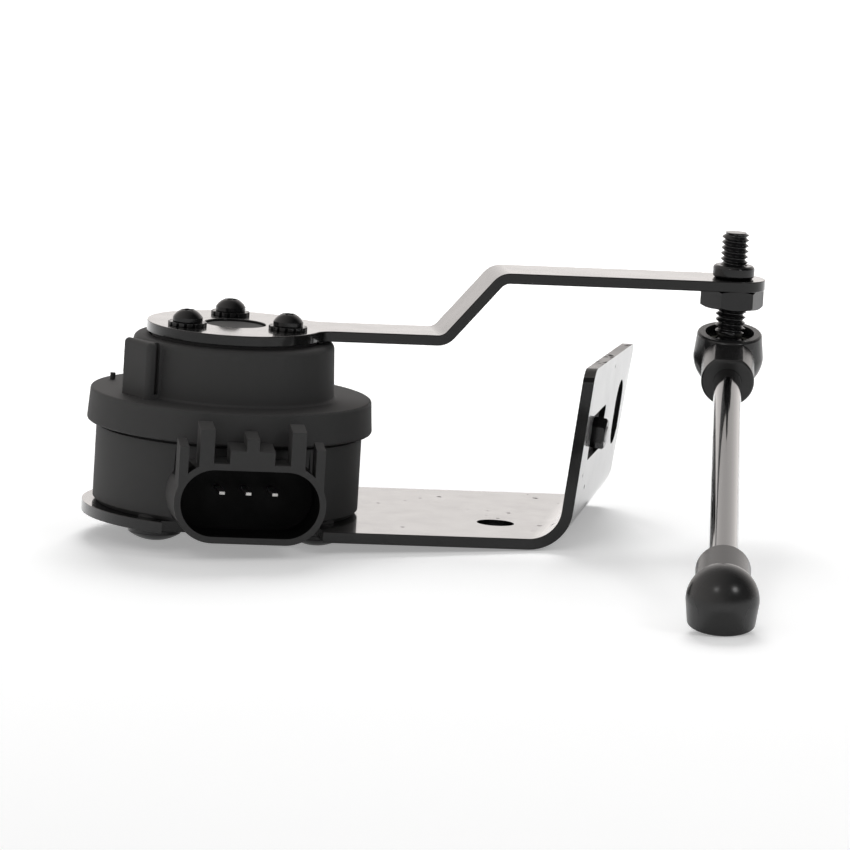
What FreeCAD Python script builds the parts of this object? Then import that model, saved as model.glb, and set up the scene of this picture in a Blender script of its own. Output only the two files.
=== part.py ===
"""Ride height sensor: a rotary sensor on a folded bracket, with its lever and ball link.

Frame: millimetres, +Z up. The origin is the bracket's base hole at the underside of the plate.
X runs along the bracket towards its folded flange, and the connector opens towards -Y.
The sensor frame is the same, with its origin under the rotor's axis.
"""
import FreeCAD, Part
import math
import os
import re

import Sketcher
from FreeCAD import Vector

# Name, value in millimetres or degrees, and what it measures.
SIZES = [
    ("plate_thickness", 2.5, "sheet of the bracket"),
    ("plate_margin", 2.4, "plate beyond the housing, all around"),
    ("base_hole_x", 60.6, "base hole from the rotor's axis, along the plate"),
    ("base_hole_y", -11.8, "base hole from the rotor's axis, across the plate"),
    ("base_hole_radius", 4.2, "base hole"),
    ("fold_distance", 83.2, "rotor's axis to the flange's outer face, at the underside"),
    ("fold_skew", 16.2, "turn of the fold line in plan"),
    ("fold_lean", 5.4, "lean of the flange away from upright"),
    ("fold_inner_radius", 7.0, "inside of the fold"),
    ("flange_height", 41.6, "top of the flange at its front edge"),
    ("flange_drop", 3.0, "fall of the flange's top towards the back"),
    ("flange_corner", 3.0, "round top corners of the flange"),
    ("notch_half_width", 17.9, "notch in the plate behind the connector"),
    ("notch_depth", 8.0, "depth of that notch"),
    ("slot_length", 20.6, "oblong slot in the flange, along the fold"),
    ("slot_height", 10.2, "height of that slot"),
    ("slot_offset", -12.5, "middle of that slot, along the fold"),
    ("slot_level", 24.4, "middle of both slots above the underside, along the flange"),
    ("slot_corner", 1.2, "corners of the oblong slot"),
    ("tall_slot_length", 15.0, "upright slot in the flange"),
    ("tall_slot_width", 10.4, "width of the upright slot"),
    ("tall_slot_offset", 21.0, "middle of the upright slot, along the fold"),
    ("housing_radius", 30.2, "outside of the lower housing"),
    ("housing_wall", 2.2, "wall of the housing"),
    ("housing_floor", 2.0, "floor of the housing"),
    ("housing_height", 17.7, "lower housing, from the plate to the gasket"),
    ("housing_chamfer", 1.0, "lower edge of the housing"),
    ("screw_inset", 4.2, "circle of the bracket screws inside the housing's outside"),
    ("screw_count", 4, "bracket screws"),
    ("screw_boss_radius", 4.0, "screw bosses inside the housing"),
    ("screw_boss_height", 16.0, "bosses, from the plate to the circuit board"),
    ("screw_radius", 2.5, "shank of a bracket screw"),
    ("screw_length", 11.0, "shank of a bracket screw, below its head"),
    ("screw_clearance", 0.25, "holes around the screws"),
    ("screw_hole_spare", 0.6, "pilot holes beyond the screws' ends"),
    ("screw_head_radius", 6.0, "domed head under the plate"),
    ("screw_head_height", 2.9, "height of that head"),
    ("screw_socket_flats", 4.0, "hexagon socket of the screws, across flats"),
    ("shroud_width", 34.5, "connector shroud outside, across"),
    ("shroud_height", 18.1, "connector shroud outside, upright"),
    ("shroud_wall", 1.5, "wall of the shroud"),
    ("shroud_reach", 9.2, "shroud's front beyond the housing"),
    ("shroud_inset", 5.0, "shroud's closed back inside the housing's outside"),
    ("shroud_level", 9.2, "middle of the shroud above the plate's underside"),
    ("shroud_back_wall", 2.0, "closed back of the shroud"),
    ("rib_length", 5.6, "latch ribs on the shroud, front to back"),
    ("outer_rib_reach", 16.5, "outer face of the outer ribs, from the middle"),
    ("outer_rib_width", 2.1, "outer ribs"),
    ("outer_rib_height", 3.7, "outer ribs above the shroud"),
    ("inner_rib_reach", 12.0, "outer face of the inner ribs, from the middle"),
    ("inner_rib_width", 3.3, "inner ribs"),
    ("inner_rib_height", 7.6, "inner ribs above the shroud"),
    ("latch_base_width", 10.2, "block between the ribs"),
    ("latch_base_height", 3.0, "block between the ribs, above the shroud"),
    ("latch_post_width", 2.9, "post on that block"),
    ("latch_post_height", 2.7, "post on that block, above it"),
    ("pin_count", 3, "terminals"),
    ("pin_pitch", 6.0, "spacing of the terminals"),
    ("pin_width", 1.2, "width of a terminal"),
    ("pin_thickness", 0.64, "thickness of a terminal"),
    ("pin_reach", 8.8, "terminal inside the shroud, from its closed back"),
    ("pin_rise", 1.9, "terminals above the shroud's middle"),
    ("pin_stand", 2.2, "upright leg behind the shroud's back"),
    ("pin_top", 1.2, "terminal above the circuit board"),
    ("gasket_thickness", 0.8, "gasket between housing and cover"),
    ("gasket_setback", 0.7, "gasket inside the housing's outside"),
    ("board_thickness", 1.6, "circuit board"),
    ("board_gap", 0.5, "circuit board inside the housing wall"),
    ("chip_size", 5.0, "angle sensor chip"),
    ("chip_height", 1.5, "angle sensor chip"),
    ("ring_overhang", 2.25, "cover's ring beyond the housing, at its lower edge"),
    ("ring_draft", 0.5, "narrowing of the ring towards its top"),
    ("ring_height", 7.5, "cover's ring"),
    ("ring_rounding", 0.6, "edges of the ring"),
    ("cap_setback", 6.8, "foot of the cap inside the housing's outside"),
    ("cap_draft", 0.6, "narrowing of the cap towards its top"),
    ("cap_height", 12.7, "cap above the ring"),
    ("cap_fillet", 0.8, "foot of the cap"),
    ("cap_rounding", 1.4, "top edge of the cap"),
    ("cover_wall", 2.2, "walls of the cover"),
    ("recess_gap", 0.5, "around and under the rotor's flange"),
    ("key_angle", 205.0, "direction of the boss on the cap"),
    ("key_stand", 3.0, "outer face of that boss beyond the cap's foot"),
    ("key_half_width", 5.5, "half width of that boss"),
    ("key_height", 12.2, "boss above the ring"),
    ("key_rounding", 1.1, "edges of that boss"),
    ("groove_width", 1.1, "groove between boss and cap"),
    ("groove_depth", 1.3, "depth of that groove"),
    ("peg_angle", 151.8, "direction of the small peg on the ring"),
    ("peg_inset", 1.3, "peg inside the housing's outside"),
    ("peg_radius", 0.6, "radius of the peg"),
    ("peg_height", 1.5, "peg above the ring"),
    ("bush_wall", 1.5, "shaft bush"),
    ("bush_length", 9.0, "shaft bush"),
    ("seal_width", 3.2, "shaft seal, across its ring"),
    ("seal_thickness", 2.0, "shaft seal"),
    ("shaft_radius", 5.0, "rotor shaft"),
    ("shaft_clearance", 0.05, "running clearance around the shaft"),
    ("cap_rim", 4.0, "rotor's flange inside the cap's top edge"),
    ("rotor_flange_thickness", 3.3, "rotor's flange"),
    ("spigot_height", 1.0, "rotor's spigot in the lever's hole"),
    ("magnet_radius", 3.6, "magnet in the shaft's end"),
    ("magnet_thickness", 2.5, "magnet"),
    ("magnet_gap", 1.0, "shaft's end above the sensor chip"),
    ("clip_thickness", 0.8, "retaining ring"),
    ("clip_reach", 1.6, "retaining ring outside the shaft"),
    ("clip_groove", 0.7, "depth of its groove"),
    ("clip_gap", 0.1, "retaining ring below the bush"),
    ("clip_opening", 4.0, "open side of the retaining ring"),
    ("lever_gap", 0.8, "lever above the cap"),
    ("lever_thickness", 2.4, "sheet of the lever"),
    ("lever_overhang", 1.2, "round end of the lever beyond the rotor's flange"),
    ("lever_hole_radius", 7.0, "hole in the round end"),
    ("lever_half_width", 7.4, "half width of the lever's strip"),
    ("lever_length", 114.3, "rotor's axis to the ball stud's axis"),
    ("lever_rise", 14.8, "step of the lever"),
    ("lever_step_start", 47.9, "foot of the step from the axis"),
    ("lever_step_angle", 50.0, "slope of the step"),
    ("lever_bend_radius", 2.6, "inside of the lever's bends"),
    ("lever_neck_radius", 5.0, "fillets between the round end and the strip"),
    ("lever_screw_inset", 5.6, "circle of the lever's screws inside the rotor's flange"),
    ("lever_screw_count", 3, "screws of the lever"),
    ("lever_screw_turn", 87.0, "direction of the first screw"),
    ("lever_screw_radius", 2.0, "shank of a lever screw"),
    ("lever_screw_grip", 2.6, "shank in the rotor's flange"),
    ("lever_screw_head", 3.4, "radius of the domed head"),
    ("lever_screw_height", 3.0, "height of the domed head"),
    ("lever_screw_socket", 2.5, "hexagon socket, across flats"),
    ("lock_washer_radius", 4.4, "serrated washer"),
    ("lock_washer_thickness", 0.9, "serrated washer"),
    ("lock_washer_teeth", 14, "teeth around the washer"),
    ("tooth_depth", 0.7, "depth of its teeth"),
    ("stud_radius", 3.0, "threaded stud"),
    ("stud_hole_clearance", 0.1, "lever's hole around the stud"),
    ("stud_top", 10.5, "stud above the lever"),
    ("stud_neck_radius", 3.5, "stud below the lever"),
    ("stud_taper_radius", 2.8, "stud where it meets the ball"),
    ("stud_chamfer", 0.6, "stud's end"),
    ("ball_radius", 5.0, "ball"),
    ("ball_drop", 17.9, "ball's centre below the lever's top"),
    ("ball_drop_to_neck", 5.6, "ball's centre to the wide neck"),
    ("nut_flats", 12.7, "hexagon nut under the lever, across flats"),
    ("nut_height", 4.4, "hexagon nut under the lever"),
    ("nut_bevel", 0.5, "bevel of the nuts' corners"),
    ("top_nut_radius", 4.75, "round nut on the lever"),
    ("top_nut_height", 3.0, "round nut on the lever"),
    ("link_length", 149.5, "ball to ball"),
    ("link_turn", -10.4, "link in plan, from square to the lever"),
    ("link_slope", 12.4, "link's fall towards its lower end"),
    ("rod_radius", 3.175, "link rod"),
    ("rod_seat", 7.0, "rod inside each socket's collar"),
    ("socket_radius", 8.0, "ball socket outside"),
    ("socket_rim", 5.6, "ball's centre to the socket's rim"),
    ("socket_rim_radius", 7.35, "socket outside at its rim"),
    ("collar_radius", 6.05, "collar on the socket"),
    ("collar_reach", 17.4, "ball's centre to the collar's face"),
    ("collar_flat", 5.2, "flat on the collar, from its axis"),
    ("socket_rounding", 0.6, "edges of the socket"),
    ("seat_wall", 1.2, "ball seat in the socket"),
    ("seat_gap", 0.03, "running clearance around ball and seat"),
    ("seat_mouth", 4.2, "mouth of the ball seat, radius"),
    ("seat_lip", 1.0, "straight wall of that mouth"),
    ("socket_throat", 5.1, "where the mouth meets the socket's cavity, radius"),
    ("socket_mouth", 5.6, "mouth of the socket at its rim, radius"),
    ("grommet_lip", 1.0, "grommet's lip around the slot"),
    ("grommet_lip_thickness", 0.6, "grommet's lip on the inner side"),
    ("grommet_setback", 1.3, "grommet below the flange's outer face"),
    ("locator_radius", 2.0, "locating pin through the grommet"),
    ("locator_head_radius", 2.6, "head of the locating pin, on the inner side"),
    ("locator_inside", 1.2, "head of the locating pin beyond the grommet's lip"),
    ("locator_outside", 0.3, "locating pin beyond its nut"),
    ("locator_nut_flats", 6.2, "nut on the locating pin, across flats"),
    ("locator_nut_height", 3.6, "nut on the locating pin"),
    ("locator_offset", -12.9, "locating pin, along the fold"),
]

doc = FreeCAD.newDocument("ride_height_sensor")
sheet = doc.addObject("Spreadsheet::Sheet", "Sizes")
for row, (alias, size, meaning) in enumerate(SIZES, start=1):
    sheet.set("A%d" % row, meaning)
    sheet.set("B%d" % row, str(size))
    sheet.setAlias("B%d" % row, alias)
doc.recompute()
ALIASES = {alias for alias, size, meaning in SIZES}

# Heights and radii that follow from the sizes, as expressions of the sheet.
HOUSING_TOP = "(plate_thickness + housing_height)"
COVER_BOTTOM = f"({HOUSING_TOP} + gasket_thickness)"
RING_TOP = f"({COVER_BOTTOM} + ring_height)"
CAP_TOP = f"({RING_TOP} + cap_height)"
LEVER_BOTTOM = f"({CAP_TOP} + lever_gap)"
LEVER_TOP = f"({LEVER_BOTTOM} + lever_thickness)"
ARM_BOTTOM = f"({LEVER_BOTTOM} + lever_rise)"
ARM_TOP = f"({ARM_BOTTOM} + lever_thickness)"
BALL_LEVEL = f"({ARM_TOP} - ball_drop)"
ROTOR_BOTTOM = f"({LEVER_BOTTOM} - rotor_flange_thickness)"
RECESS_FLOOR = f"({ROTOR_BOTTOM} - recess_gap)"
SEAL_BOTTOM = f"({RECESS_FLOOR} - seal_thickness)"
BUSH_BOTTOM = f"({SEAL_BOTTOM} - bush_length)"
CAP_CEILING = f"({SEAL_BOTTOM} - cover_wall)"
BOARD_BOTTOM = "(plate_thickness + screw_boss_height)"
BOARD_TOP = f"({BOARD_BOTTOM} + board_thickness)"
SHAFT_END = f"({BOARD_TOP} + chip_height + magnet_gap)"
HOUSING_INNER = "(housing_radius - housing_wall)"
PLATE_HALF = "(housing_radius + plate_margin)"
SCREW_CIRCLE = "(housing_radius - screw_inset)"
SHROUD_FRONT = "(housing_radius + shroud_reach)"
SHROUD_BACK = "(housing_radius - shroud_inset)"
RING_RADIUS = "(housing_radius + ring_overhang)"
RING_TOP_RADIUS = f"({RING_RADIUS} - ring_draft)"
CAP_RADIUS = "(housing_radius - cap_setback)"
CAP_TOP_RADIUS = f"({CAP_RADIUS} - cap_draft)"
KEY_REACH = f"({CAP_RADIUS} + key_stand)"
PEG_CIRCLE = "(housing_radius - peg_inset)"
ROTOR_RADIUS = f"({CAP_TOP_RADIUS} - cap_rim)"
LEVER_DISC = f"({ROTOR_RADIUS} + lever_overhang)"
LEVER_SCREW_CIRCLE = f"({ROTOR_RADIUS} - lever_screw_inset)"
BUSH_INNER = "(shaft_radius + shaft_clearance)"
BUSH_OUTER = f"({BUSH_INNER} + bush_wall)"
SEAL_OUTER = f"({BUSH_INNER} + seal_width)"
PIN_LEVEL = "(shroud_level + pin_rise)"
SEAT_INNER = "(ball_radius + seat_gap)"
SEAT_OUTER = f"({SEAT_INNER} + seat_wall)"
CAVITY = f"({SEAT_OUTER} + seat_gap)"

# Where each group of pieces is placed, from the base hole.
UPRIGHT = "rotation(vector(0; 0; 1); 0)"
SENSOR_FRAME = f"placement(vector(-base_hole_x; -base_hole_y; 0); {UPRIGHT})"
FLANGE_FRAME = (
    "placement(vector(fold_distance - base_hole_x; -base_hole_y; 0);"
    " rotation(vector(0; 0; 1); -fold_skew) * rotation(vector(0; 1; 0); fold_lean))"
)
LOCATOR_FRAME = (
    f"{FLANGE_FRAME} * placement(vector(0; locator_offset; slot_level); rotation(vector(0; 1; 0); 90))"
)
STUD_FRAME = (
    f"{SENSOR_FRAME} * placement(vector(lever_length; 0; {ARM_TOP}); {UPRIGHT})"
)
BALL_POINT = f"vector(lever_length - base_hole_x; -base_hole_y; {BALL_LEVEL})"
SWIVEL_FRAME = f"placement({BALL_POINT}; rotation(vector(0; 0; 1); link_turn))"
LINK_TURNS = "rotation(vector(0; 0; 1); link_turn) * rotation(vector(1; 0; 0); link_slope)"
LINK_FRAME = f"placement({BALL_POINT}; {LINK_TURNS})"
LOWER_SOCKET_FRAME = (
    f"{LINK_FRAME} * placement(vector(0; -link_length; 0); rotation(vector(1; 0; 0); 180))"
)

# Lengths closer than this are the same point.
TINY = 1e-6


def bound(text):
    """Write an expression with each size's name joined to the sheet's."""
    return re.sub(r"[a-z_]+", lambda word: "Sizes." + word[0] if word[0] in ALIASES else word[0], text)


def value(text):
    """Work out an expression of sizes."""
    return float(sheet.evalExpression(bound(text)))


def bind(thing, field, text):
    """Bind one property of an object to an expression of sizes."""
    thing.setExpression(field, bound(text))


def new_body(name, frame):
    """Start a piece and place it."""
    body = doc.addObject("PartDesign::Body", name)
    body.Label = name
    bind(body, "Placement", frame)
    return body


class Outline:
    """A sketch whose points are tied to the sheet."""

    def __init__(self, body, role, lift="0", turned=UPRIGHT):
        self.sketch = body.newObject("Sketcher::SketchObject", "outline")
        plane = next(item for item in body.Origin.OriginFeatures if item.Role == role)
        self.sketch.AttachmentSupport = [(plane, "")]
        self.sketch.MapMode = "FlatFace"
        bind(self.sketch, "AttachmentOffset", f"placement(vector(0; 0; {lift}); {turned})")

    def fix(self, kind, text, *where):
        """Add one dimension and bind it."""
        number = self.sketch.addConstraint(Sketcher.Constraint(kind, *where, value(text)))
        bind(self.sketch, f"Constraints[{number}]", text)

    def tie(self, edge, end, across, up):
        """Tie one point of an edge to its two coordinates."""
        self.fix("DistanceX", across, -1, 1, edge, end)
        self.fix("DistanceY", up, -1, 1, edge, end)

    def circle(self, across, up, radius):
        """Draw a circle."""
        centre = Vector(value(across), value(up), 0)
        edge = self.sketch.addGeometry(Part.Circle(centre, Vector(0, 0, 1), value(radius)))
        self.tie(edge, 3, across, up)
        self.fix("Radius", radius, edge)
        return self

    def path(self, corners):
        """Draw a closed path; a corner is (across, up), or (across, up, radius) at an arc's end.

        The radius is positive where the arc turns to the left, and negative to the right.
        """
        spots = [Vector(value(corner[0]), value(corner[1]), 0) for corner in corners]
        edges = []
        for place, corner in enumerate(corners):
            start = spots[place - 1]
            end = spots[place]
            if len(corner) == 2:
                edges.append(self.sketch.addGeometry(Part.LineSegment(start, end)))
                continue
            radius = value(corner[2])
            half = (end - start) * 0.5
            side = Vector(-half.y, half.x, 0).normalize()
            rise = math.sqrt(max(radius * radius - half.Length ** 2, 0.0))
            centre = start + half + side * math.copysign(rise, radius)
            middle = centre - side * radius
            edges.append(self.sketch.addGeometry(Part.Arc(start, middle, end)))
        for place, corner in enumerate(corners):
            following = (place + 1) % len(edges)
            tail = self.end_at(edges[place], spots[place])
            head = self.end_at(edges[following], spots[place])
            meeting = (edges[place], tail, edges[following], head)
            self.sketch.addConstraint(Sketcher.Constraint("Coincident", *meeting))
            self.tie(edges[place], tail, corner[0], corner[1])
            if len(corner) == 3:
                self.shape_arc(edges[place], spots[place - 1], spots[place], corner)
        return self

    def shape_arc(self, edge, start, end, corner):
        """Fix an arc between its two tied ends."""
        half_round = near((end - start).Length / 2, abs(value(corner[2])), TINY)
        if not half_round:
            self.fix("Radius", f"abs({corner[2]})", edge)
        elif near(start.x, end.x, TINY):
            self.fix("DistanceX", corner[0], -1, 1, edge, 3)
        else:
            self.fix("DistanceY", corner[1], -1, 1, edge, 3)

    def end_at(self, edge, spot):
        """Tell which end of an edge lies at a spot."""
        return 1 if self.sketch.getPoint(edge, 1).distanceToPoint(spot) < TINY else 2

    def rectangle(self, left, low, right, high):
        """Draw a rectangle from its sides."""
        return self.path([(left, low), (right, low), (right, high), (left, high)])

    def soft_rectangle(self, left, low, right, high, radius):
        """Draw a rectangle with round corners."""
        inset = f"({radius})"
        return self.path([
            (f"{right} - {inset}", low), (right, f"{low} + {inset}", inset),
            (right, f"{high} - {inset}"), (f"{right} - {inset}", high, inset),
            (f"{left} + {inset}", high), (left, f"{high} - {inset}", inset),
            (left, f"{low} + {inset}"), (f"{left} + {inset}", low, inset),
        ])

    def oblong(self, across, up, width, height):
        """Draw an oblong that lies down, with half-round ends."""
        half = f"({height}) / 2"
        left = f"({across}) - ({width}) / 2 + {half}"
        right = f"({across}) + ({width}) / 2 - {half}"
        low = f"({up}) - {half}"
        high = f"({up}) + {half}"
        return self.path([(right, low), (right, high, half), (left, high), (left, low, half)])

    def upright_oblong(self, across, up, width, height):
        """Draw an oblong that stands up, with half-round ends."""
        half = f"({width}) / 2"
        left = f"({across}) - {half}"
        right = f"({across}) + {half}"
        low = f"({up}) - ({height}) / 2 + {half}"
        high = f"({up}) + ({height}) / 2 - {half}"
        return self.path([(left, low), (right, low, half), (right, high), (left, high, half)])

    def hexagon(self, flats):
        """Draw a hexagon about the origin, its corners along the first axis."""
        corners = []
        for step in range(6):
            angle = f"{step * 60} * 1 deg"
            corners.append((f"({flats}) / sqrt(3) * cos({angle})", f"({flats}) / sqrt(3) * sin({angle})"))
        return self.path(corners)


def finish(body, feature):
    """Make a feature the body's last one and work it out."""
    body.Tip = feature
    doc.recompute()
    return feature


def pad(body, outline, length, symmetric=False, backwards=False):
    """Raise an outline into a solid."""
    feature = body.newObject("PartDesign::Pad", "pad")
    feature.Profile = outline.sketch
    feature.SideType = "Symmetric" if symmetric else "One side"
    feature.Reversed = backwards
    bind(feature, "Length", length)
    return finish(body, feature)


def pocket(body, outline, length=None, symmetric=False, backwards=False):
    """Cut an outline out of a body, right through it where no length is given."""
    feature = body.newObject("PartDesign::Pocket", "pocket")
    feature.Profile = outline.sketch
    feature.SideType = "Symmetric" if symmetric else "One side"
    feature.Reversed = backwards
    if length:
        bind(feature, "Length", length)
    else:
        feature.Type = "ThroughAll"
    return finish(body, feature)


def turn(body, corners, cut=False):
    """Turn a path in the XZ plane about the Z axis, to add or to cut."""
    outline = Outline(body, "XZ_Plane").path(corners)
    feature = body.newObject("PartDesign::Groove" if cut else "PartDesign::Revolution", "turned")
    feature.Profile = outline.sketch
    feature.ReferenceAxis = (outline.sketch, ["V_Axis"])
    feature.Angle = 360
    return finish(body, feature)


def repeat(body, feature, count):
    """Repeat a feature evenly about the Z axis."""
    axis = next(item for item in body.Origin.OriginFeatures if item.Role == "Z_Axis")
    pattern = body.newObject("PartDesign::PolarPattern", "repeated")
    pattern.Originals = [feature]
    pattern.Axis = (axis, [""])
    pattern.Angle = 360
    bind(pattern, "Occurrences", count)
    return finish(body, pattern)


def ease(body, radius, chosen):
    """Round the edges that pass a test of the edge and its middle point."""
    base = body.Tip
    names = []
    for place, edge in enumerate(base.Shape.Edges, start=1):
        if chosen(edge, edge.valueAt((edge.FirstParameter + edge.LastParameter) / 2)):
            names.append("Edge%d" % place)
    feature = body.newObject("PartDesign::Fillet", "eased")
    feature.Base = (base, names)
    bind(feature, "Radius", radius)
    return finish(body, feature)


def near(one, other, room=0.02):
    """Tell whether two lengths are the same but for rounding."""
    return abs(one - other) < room


def ring_edge(radius, level):
    """Give a test for edges that are circles about the Z axis."""
    def chosen(edge, middle):
        level_edge = near(edge.BoundBox.ZLength, 0)
        around = near(math.hypot(middle.x, middle.y), value(radius))
        return level_edge and around and near(middle.z, value(level))
    return chosen


def hex_nut(name, frame, flats, height, bore, low="0"):
    """Make a hexagon nut whose corners are bevelled on both faces."""
    body = new_body(name, frame)
    pad(body, Outline(body, "XY_Plane", low).hexagon(flats), height)
    corner = f"({flats}) / sqrt(3)"
    flat = f"({flats}) / 2"
    out = f"({corner} + nut_bevel)"
    fall = f"nut_bevel * ({out} - {flat}) / ({corner} - {flat})"
    top = f"({low}) + {height}"
    above = f"{top} + nut_bevel"
    below = f"({low}) - nut_bevel"
    turn(body, [(flat, top), (out, f"{top} - {fall}"), (out, above), (flat, above)], cut=True)
    turn(body, [(flat, low), (flat, below), (out, below), (out, f"({low}) + {fall}")], cut=True)
    pocket(body, Outline(body, "XY_Plane", low).circle("0", "0", bore), symmetric=True)
    return body


def domed_screw(name, frame, shank, length, radius, height, socket):
    """Make a screw with a domed head and a hexagon socket; its head stands on the frame's plane."""
    body = new_body(name, frame)
    rim = f"{height} / 3"
    dome = f"({radius} * {radius} + ({height} - {rim}) * ({height} - {rim})) / (2 * ({height} - {rim}))"
    turn(body, [("0", f"-({length})"), (shank, f"-({length})"), (shank, "0"), (radius, "0"),
                (radius, rim), ("0", height, dome)])
    pocket(body, Outline(body, "XY_Plane", height).hexagon(socket), f"{height} / 2")
    return body


def make_bracket():
    """Fold the bracket out of one sheet and cut its outline, notch, holes and slots."""
    body = new_body("mounting_bracket", SENSOR_FRAME)
    skew = "rotation(vector(0; 1; 0); -fold_skew)"
    half = PLATE_HALF
    start = f"-2 * {half}"
    thick = "plate_thickness"
    corner = "fold_distance * cos(fold_skew * 1 deg)"
    outer = f"(fold_inner_radius + {thick})"
    lean = "fold_lean * 1 deg"
    tangent = f"{outer} * tan((90 - fold_lean) / 2 * 1 deg)"
    foot = f"{corner} - {tangent}"
    tall = "(flange_height + flange_drop)"
    end_out = f"{corner} + {tall} * tan({lean})"
    shoulder_out = f"{corner} + {tangent} * sin({lean})"
    rise_out = f"{tangent} * cos({lean})"
    strip = Outline(body, "XZ_Plane", turned=skew).path([
        (start, "0"),
        (foot, "0"),
        (shoulder_out, rise_out, outer),
        (end_out, tall),
        (f"{end_out} - {thick} / cos({lean})", tall),
        (f"{shoulder_out} - {thick} * cos({lean})", f"{rise_out} + {thick} * sin({lean})"),
        (foot, thick, "-fold_inner_radius"),
        (start, thick),
    ])
    pad(body, strip, f"6 * {half}", symmetric=True)

    far = f"(fold_distance + {half})"
    outside = Outline(body, "XY_Plane")
    outside.rectangle(f"-3 * {half}", f"-4 * {half}", f"{far} + {half}", f"4 * {half}")
    outside.path([("0", f"-{half}", half), (far, f"-{half}"), (far, half), ("0", half)])
    pocket(body, outside, symmetric=True)

    front_top = "flange_height"
    slope = f"flange_drop / (2 * {half})"
    above = Outline(body, "YZ_Plane").path([
        (f"-2 * {half}", f"{front_top} + {half} * {slope}"),
        (f"2 * {half}", f"{front_top} - 3 * {half} * {slope}"),
        (f"2 * {half}", f"2 * {front_top}"),
        (f"-2 * {half}", f"2 * {front_top}"),
    ])
    pocket(body, above, symmetric=True)
    ease(body, "flange_corner", flange_corners)

    notch_low = f"-2 * {half}"
    notch_high = f"-({half} - notch_depth)"
    notch = Outline(body, "XY_Plane")
    notch.rectangle("-notch_half_width", notch_low, "notch_half_width", notch_high)
    pocket(body, notch, symmetric=True)
    base_hole = Outline(body, "XY_Plane").circle("base_hole_x", "base_hole_y", "base_hole_radius")
    pocket(body, base_hole, symmetric=True)
    reach = f"{SCREW_CIRCLE} * cos(45 deg)"
    hole = Outline(body, "XY_Plane").circle(reach, reach, "screw_radius + screw_clearance")
    repeat(body, pocket(body, hole, symmetric=True), "screw_count")

    on_flange = {
        "lift": "fold_distance",
        "turned": "rotation(vector(0; 1; 0); -fold_skew) * rotation(vector(1; 0; 0); fold_lean)",
    }
    slot = Outline(body, "YZ_Plane", **on_flange).soft_rectangle(*slot_sides("0"), "slot_corner")
    pocket(body, slot, "3 * plate_thickness", symmetric=True)
    tall_slot = Outline(body, "YZ_Plane", **on_flange)
    tall_slot.upright_oblong("tall_slot_offset", "slot_level", "tall_slot_width", "tall_slot_length")
    pocket(body, tall_slot, "3 * plate_thickness", symmetric=True)


def flange_corners(edge, middle):
    """Tell whether an edge is one of the two at the flange's top corners."""
    at_side = near(abs(middle.y), value(PLATE_HALF))
    at_top = middle.z > value("flange_height - flange_drop - plate_thickness")
    return at_side and at_top and edge.Length < value("plate_thickness") * 1.5


def slot_sides(spare):
    """Give the oblong slot's sides, widened by a margin."""
    left = f"(slot_offset - slot_length / 2 - {spare})"
    right = f"(slot_offset + slot_length / 2 + {spare})"
    low = f"(slot_level - slot_height / 2 - {spare})"
    high = f"(slot_level + slot_height / 2 + {spare})"
    return left, low, right, high


def make_lower_housing():
    """Mould the cup with its screw bosses, connector shroud and latch ribs."""
    body = new_body("lower_housing", SENSOR_FRAME)
    foot = "plate_thickness"
    floor = "(plate_thickness + housing_floor)"
    turn(body, [
        ("0", foot),
        ("housing_radius - housing_chamfer", foot),
        ("housing_radius", f"{foot} + housing_chamfer"),
        ("housing_radius", HOUSING_TOP),
        (HOUSING_INNER, HOUSING_TOP),
        (HOUSING_INNER, floor),
        ("0", floor),
    ])
    reach = f"{SCREW_CIRCLE} * cos(45 deg)"
    boss = Outline(body, "XY_Plane", foot).circle(reach, reach, "screw_boss_radius")
    repeat(body, pad(body, boss, "screw_boss_height"), "screw_count")
    pilot = Outline(body, "XY_Plane", foot).circle(reach, reach, "screw_radius")
    pilot_depth = "screw_length - plate_thickness + screw_hole_spare"
    repeat(body, pocket(body, pilot, pilot_depth, backwards=True), "screw_count")

    shroud = Outline(body, "XZ_Plane", SHROUD_BACK)
    shroud.oblong("0", "shroud_level", "shroud_width", "shroud_height")
    pad(body, shroud, f"{SHROUD_FRONT} - {SHROUD_BACK}")
    shroud_top = "(shroud_level + shroud_height / 2)"
    base_top = f"{shroud_top} + latch_base_height"
    ribs = [
        ("-outer_rib_reach", "-outer_rib_reach + outer_rib_width", f"{shroud_top} + outer_rib_height"),
        ("-inner_rib_reach", "-inner_rib_reach + inner_rib_width", f"{shroud_top} + inner_rib_height"),
        ("-latch_base_width / 2", "latch_base_width / 2", base_top),
        ("-latch_post_width / 2", "latch_post_width / 2", f"{base_top} + latch_post_height"),
        ("inner_rib_reach - inner_rib_width", "inner_rib_reach", f"{shroud_top} + inner_rib_height"),
        ("outer_rib_reach - outer_rib_width", "outer_rib_reach", f"{shroud_top} + outer_rib_height"),
    ]
    for left, right, high in ribs:
        rib = Outline(body, "XZ_Plane", f"{SHROUD_FRONT} - rib_length")
        rib.rectangle(left, "shroud_level", right, high)
        pad(body, rib, "rib_length")

    inside_width = "shroud_width - 2 * shroud_wall"
    inside_height = "shroud_height - 2 * shroud_wall"
    cavity = Outline(body, "XZ_Plane", SHROUD_FRONT)
    cavity.oblong("0", "shroud_level", inside_width, inside_height)
    pocket(body, cavity, f"{SHROUD_FRONT} - {SHROUD_BACK} - shroud_back_wall")
    for place in range(int(value("pin_count"))):
        across = pin_place(place)
        hole = Outline(body, "XZ_Plane", SHROUD_FRONT)
        hole.rectangle(f"{across} - pin_width / 2", f"{PIN_LEVEL} - pin_thickness / 2",
                       f"{across} + pin_width / 2", f"{PIN_LEVEL} + pin_thickness / 2")
        pocket(body, hole, f"{SHROUD_FRONT} - {SHROUD_BACK} + shroud_back_wall")


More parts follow.
